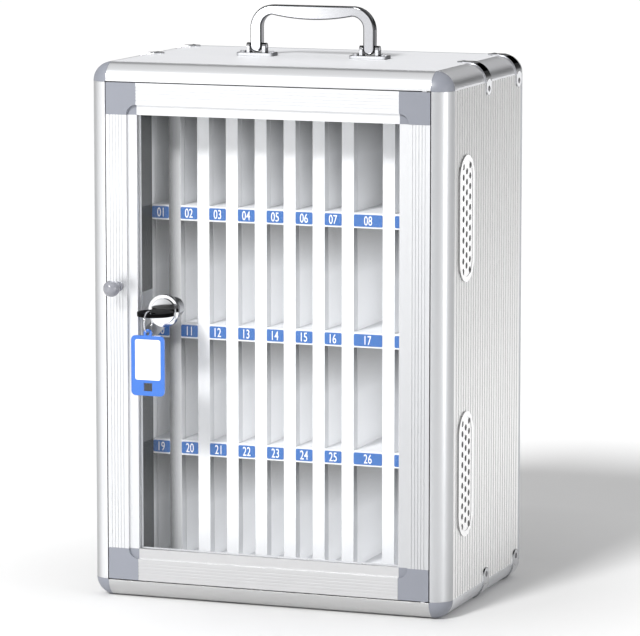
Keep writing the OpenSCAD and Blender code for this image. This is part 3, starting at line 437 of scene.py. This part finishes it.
clip_chrome = polished("clip_chrome", srgb(228, 229, 232), 0.08, painted_clip_reflection)
plug_chrome = polished("plug_chrome", srgb(232, 233, 236), 0.08, painted_plug_shade)
lock_chrome = polished("lock_chrome", srgb(232, 233, 236), 0.08, barrel_rings_and_painted_shade)
rivet_steel = make_material("rivet_steel", srgb(120, 120, 123), 0.3, metallic=1.0, grain_depth=0.001,
                            rough_spread=0.03, soft_edge=0.2)
steel = make_material("steel", srgb(196, 197, 200), 0.30, metallic=1.0, grain=(700, 700, 700),
                      grain_depth=0.001, rough_spread=0.02, spread=0.01, soft_edge=0.2)
corner_grey = make_material("corner_plastic", srgb(134, 137, 146), 0.42, grain=(900, 900, 900),
                            grain_depth=0.012, tone=painted_shade_of_corners)
panel_paint = make_material("panel_paint", srgb(238, 239, 242), 0.38, grain=(1200, 1200, 1200),
                            grain_depth=0.01, soft_edge=0.4)
trim_grey = make_material("rear_trim_paint", srgb(175, 177, 182), 0.42, grain_depth=0.01)
vent_white = make_material("vent_plastic", srgb(252, 252, 253), 0.30, grain_depth=0.008, soft_edge=0,
                           tone=painted_vent_shade)
board_white = board("slot_board", seam_and_painted_board_shade)
divider_white = board("slot_divider", seam_and_painted_divider_shade)
label_blue = make_material("label_film", srgb(60, 110, 181), 0.36, grain=(900, 900, 900),
                           grain_depth=0.001, soft_edge=0.1, spread=0.015, rough_spread=0.03,
                           specular=0.2)
digit_white = make_material("digit_print", srgb(250, 251, 253), 0.40, grain_depth=0.003, soft_edge=0)
pane_clear = make_material("clear_pane", srgb(170, 174, 176), 0.03, grain=(8, 8, 8), grain_depth=0.002,
                           rough_spread=0.01, soft_edge=0, specular=0.2, alpha=0.04)
bead_pale = make_material("bead_plastic", srgb(222, 223, 226), 0.5, grain_depth=0.006)
knob_grey = make_material("knob_plastic", srgb(136, 137, 144), 0.20, grain_depth=0.002, soft_edge=0.2,
                          coat=0.4)
bow_black = make_material("bow_plastic", srgb(5, 5, 6), 0.7, grain_depth=0.004, soft_edge=0.8,
                          specular=0.06)
tag_blue = make_material("tag_plastic", srgb(42, 105, 195), 0.16, grain_depth=0.004, soft_edge=0.6,
                         coat=0.6)
card_white = make_material("card_paper", srgb(240, 243, 248), 0.5, grain=(500, 500, 500),
                           grain_depth=0.01, soft_edge=0)

finish_of = {
    "front_profile_top": top_profile, "front_profile_bottom": low_profile_shaded,
    "front_profile_left": left_profile_lit, "front_profile_right": right_profile_shaded,
    "edge_profile_top_left": edge_profile, "edge_profile_top_right": edge_profile,
    "edge_profile_bottom_left": edge_profile, "edge_profile_bottom_right": edge_profile,
    "door_stile_left": left_stile, "door_stile_right": right_stile_shaded,
    "door_rail_top": top_rail, "door_rail_bottom": low_rail_shaded, "clip_rivets": rivet_steel,
    "lock_body": lock_chrome, "lock_plug": plug_chrome,
    "handle_bracket_left": bracket_chrome, "handle_bracket_right": bracket_chrome,
    "slot_dividers": divider_white, "edge_clips": clip_chrome,
}
by_slot = {
    "corner": corner_grey, "panel": panel_paint, "ribbed_panel": ribbed, "rear_trim": trim_grey,
    "bright_metal": chrome, "steel": steel, "vent": vent_white, "slot_board": board_white,
    "label": label_blue, "pane": pane_clear, "bead": bead_pale, "knob": knob_grey, "bow": bow_black,
    "tag": tag_blue, "card": card_white,
}
slot_of = {s["node"]: s["material_slot"] for s in frame["record"]["subparts"]}
for name, obj in nodes.items():
    obj.data.materials.clear()
    obj.data.materials.append(finish_of.get(name) or by_slot[slot_of[name]])


# Handle bar, with softer edges than its solid

def arc(cx, cz, r, start, end, steps):
    angles = [math.radians(start + (end - start) * k / steps) for k in range(steps + 1)]
    return [(cx + r * math.cos(a), cz + r * math.sin(a)) for a in angles]


def plate_mesh(name, outline, y0, y1, bevel):
    """Plate with rounded edges from an outline in X and Z, in mm, between two depths."""
    bm = bmesh.new()
    verts = [bm.verts.new((x * MM, y0 * MM, z * MM)) for x, z in outline]
    loop = [bm.edges.new((verts[k], verts[(k + 1) % len(verts)])) for k in range(len(verts))]
    bmesh.ops.triangle_fill(bm, edges=loop, use_beauty=True)
    bmesh.ops.dissolve_limit(bm, angle_limit=0.001, verts=bm.verts, edges=bm.edges)
    back = bmesh.ops.extrude_face_region(bm, geom=bm.faces[:])["geom"]
    moved = [g for g in back if isinstance(g, bmesh.types.BMVert)]
    bmesh.ops.translate(bm, vec=(0, (y1 - y0) * MM, 0), verts=moved)
    bmesh.ops.recalc_face_normals(bm, faces=bm.faces)
    rim = [e for e in bm.edges if len(e.link_faces) == 2 and e.calc_face_angle(0) > math.radians(60)]
    bmesh.ops.bevel(bm, geom=rim, offset=bevel * MM, segments=4, profile=0.5, affect="EDGES",
                    clamp_overlap=True)
    bm.normal_update()
    for face in bm.faces:
        face.smooth = True
    for e in bm.edges:
        flat = [abs(f.normal.y) > 0.9999 for f in e.link_faces]
        e.smooth = all(flat) or not any(flat)
    mesh = bpy.data.meshes.new(name)
    bm.to_mesh(mesh)
    bm.free()
    return mesh


def mesh_piece(name, mesh, body, mat, replaced=()):
    obj = bpy.data.objects.new(name, mesh)
    bpy.context.scene.collection.objects.link(obj)
    obj.data.materials.append(mat)
    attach(obj, body)
    if replaced:
        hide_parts(*replaced)


def handle_outline():
    """Legs with round feet, rounded shoulders, and a grip that bulges downwards in the middle."""
    outer, inner = LEG_X + LEG_W / 2, LEG_X - LEG_W / 2
    inner_r = HANDLE_R - LEG_W
    grip_z = HANDLE_TOP - GRIP_END
    half = outer - HANDLE_R
    belly_r = (half * half + GRIP_BELLY ** 2) / (2 * GRIP_BELLY)
    belly_a = math.degrees(math.asin(half / belly_r))
    return (arc(-LEG_X, PIVOT_Z, LEG_W / 2, 0, -180, 16)
            + arc(-outer + HANDLE_R, HANDLE_TOP - HANDLE_R, HANDLE_R, 180, 90, 20)
            + arc(outer - HANDLE_R, HANDLE_TOP - HANDLE_R, HANDLE_R, 90, 0, 20)
            + arc(LEG_X, PIVOT_Z, LEG_W / 2, 0, -180, 16)
            + arc(inner - inner_r, grip_z - inner_r, inner_r, 0, 90, 12)
            + arc(0, grip_z - GRIP_BELLY + belly_r, belly_r, -90 + belly_a, -90 - belly_a, 24)[1:-1]
            + arc(-inner + inner_r, grip_z - inner_r, inner_r, 90, 180, 12))


grip_mesh = plate_mesh("handle_grip", handle_outline(), HANDLE_Y - HANDLE_T / 2, HANDLE_Y + HANDLE_T / 2,
                       HANDLE_ROUND)
mesh_piece("handle_grip", grip_mesh, "handle", grip_chrome, ["handle_bar"])


# Numbers on the labels

def number_mesh(text, x, y, z, height):
    """Number in the plane that faces the front, its middle at x, z."""
    curve = bpy.data.curves.new("number_" + text, "FONT")
    curve.body = text
    curve.align_x = "CENTER"
    curve.size = height / DIGIT_SHARE
    curve.offset = height * 0.004
    curve.extrude = 0.04 * MM
    curve.space_character = 1.02
    temp = bpy.data.objects.new("number_" + text, curve)
    bpy.context.scene.collection.objects.link(temp)
    bpy.context.view_layer.update()
    mesh = bpy.data.meshes.new_from_object(temp.evaluated_get(bpy.context.evaluated_depsgraph_get()))
    bpy.data.objects.remove(temp)
    xs = [v.co.x for v in mesh.vertices]
    ys = [v.co.y for v in mesh.vertices]
    mid = Vector(((min(xs) + max(xs)) / 2, (min(ys) + max(ys)) / 2, 0))
    mesh.transform(Matrix.Translation((x, y, z)) @ Matrix.Rotation(math.radians(90), 4, "X")
                   @ Matrix.Diagonal((NUMBER_NARROW, 1, 1, 1)) @ Matrix.Translation(-mid))
    return mesh


widths = [SLOT_W] * NARROW + [WIDE_W] * (COLUMNS - NARROW)
grid_w = sum(widths) + (COLUMNS - 1) * DIVIDER
label_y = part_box("number_labels")[0].y
all_numbers = bmesh.new()
for row in range(ROWS):
    for col in range(COLUMNS):
        mid_x = -grid_w / 2 + sum(widths[:col]) + col * DIVIDER + widths[col] / 2
        mid_z = TOP_FLOOR - row * ROW_STEP - SHELF / 2
        text = "%02d" % (row * COLUMNS + col + 1)
        all_numbers.from_mesh(number_mesh(text, mid_x * MM, label_y, mid_z * MM, NUMBER_H * MM))
labels = bpy.data.meshes.new("label_numbers")
all_numbers.to_mesh(labels)
all_numbers.free()
mesh_piece("label_numbers", labels, "cabinet", digit_white)


# Stage, light and camera

FLOOR_HALF = 12

scene = bpy.context.scene
corners = [(x * FLOOR_HALF, y * FLOOR_HALF, 0) for x, y in ((-1, -1), (1, -1), (1, 1), (-1, 1))]
floor_mesh = bpy.data.meshes.new("floor")
floor_mesh.from_pydata(corners, [], [(0, 1, 2, 3)])
floor = bpy.data.objects.new("floor", floor_mesh)
scene.collection.objects.link(floor)
# Floor: even white, with painted shadow round and behind the object
floor.data.materials.append(make_material("floor_painted_shadow", [0.965, 0.965, 0.965], 0.6, grain=(40, 40, 40),
                                          grain_depth=0.001, soft_edge=0, spread=0.003, specular=0.2,
                                          tone=painted_floor_shadow))

# Studio surround: levels by height, in front and behind, and more light from low down on the right
IN_FRONT = [(0.0, 0.85), (0.22, 0.80), (0.36, 0.25), (0.55, 0.15), (0.70, 0.85), (1.0, 1.0)]
BEHIND = [(0.0, 0.50), (0.06, 0.45), (0.11, 0.08), (0.21, 0.08), (0.28, 0.80), (0.42, 0.80),
          (0.52, 0.15), (0.64, 0.15), (0.75, 0.90), (1.0, 1.0)]
WORLD_STRENGTH = 0.85

world = bpy.data.worlds.new("studio")
scene.world = world
world.use_nodes = True
world_tree = world.node_tree
sky = world_tree.nodes["Background"]


def levels_by_height(levels):
    ramp = world_tree.nodes.new("ShaderNodeValToRGB")
    stops = ramp.color_ramp.elements
    while len(stops) < len(levels):
        stops.new(1.0)
    for stop, (height, level) in zip(stops, levels):
        stop.position = height
        stop.color = (level, level, level, 1)
    world_tree.links.new(coordinate(world_tree, "Generated", "Z"), ramp.inputs["Fac"])
    return ramp.outputs["Color"]


blend = world_tree.nodes.new("ShaderNodeMix")
blend.data_type = "RGBA"
to_back = signed_level(world_tree, "Generated", "Y", -0.4, 0.6, 0.0, 1.0)
world_tree.links.new(to_back, blend.inputs["Factor"])
world_tree.links.new(levels_by_height(IN_FRONT), blend.inputs["A"])
world_tree.links.new(levels_by_height(BEHIND), blend.inputs["B"])
world_tree.links.new(blend.outputs["Result"], sky.inputs["Color"])
strength = world_tree.nodes.new("ShaderNodeMath")
strength.operation = "MULTIPLY_ADD"
strength.inputs[2].default_value = WORLD_STRENGTH
to_right = signed_level(world_tree, "Generated", "X", 0.55, 0.90, 0.0, 1.0)
low_down = signed_level(world_tree, "Generated", "Z", 0.15, 0.45, 1.5, 0.0)
world_tree.links.new(to_right, strength.inputs[0])
world_tree.links.new(low_down, strength.inputs[1])
world_tree.links.new(strength.outputs["Value"], sky.inputs["Strength"])


def area_light(name, place, target, width, height, power):
    data = bpy.data.lights.new(name, "AREA")
    data.shape = "RECTANGLE"
    data.size = width
    data.size_y = height
    data.energy = power
    obj = bpy.data.objects.new(name, data)
    obj.location = place
    obj.rotation_euler = (Vector(target) - Vector(place)).to_track_quat("-Z", "Y").to_euler()
    scene.collection.objects.link(obj)


KEY_ROUND, KEY_UP = math.radians(-12), math.radians(37)
key = bpy.data.objects.new("key", bpy.data.lights.new("key", "SUN"))
key.data.energy = 2.9
key.data.angle = math.radians(12)
towards_key = Vector((math.cos(KEY_UP) * math.sin(KEY_ROUND), -math.cos(KEY_UP) * math.cos(KEY_ROUND),
                      math.sin(KEY_UP)))
key.rotation_euler = towards_key.to_track_quat("Z", "Y").to_euler()
scene.collection.objects.link(key)
area_light("side_box", (1.6, -0.5, 0.45), (0.17, 0, 0.22), 0.25, 1.0, 3.8)
area_light("front_box", (-1.05, -1.9, 0.50), (0, 0, 0.45), 0.5, 0.4, 2.6)

camera_data = bpy.data.cameras.new("camera")
camera_data.lens = 236.1
camera_data.sensor_width = 36
camera = bpy.data.objects.new("camera", camera_data)
camera.location = (1.3440, -3.6565, 0.8161)
camera.rotation_euler = (math.radians(90 - 8.18), 0, math.radians(20.01))
scene.collection.objects.link(camera)
scene.camera = camera
scene.view_settings.view_transform = "Standard"
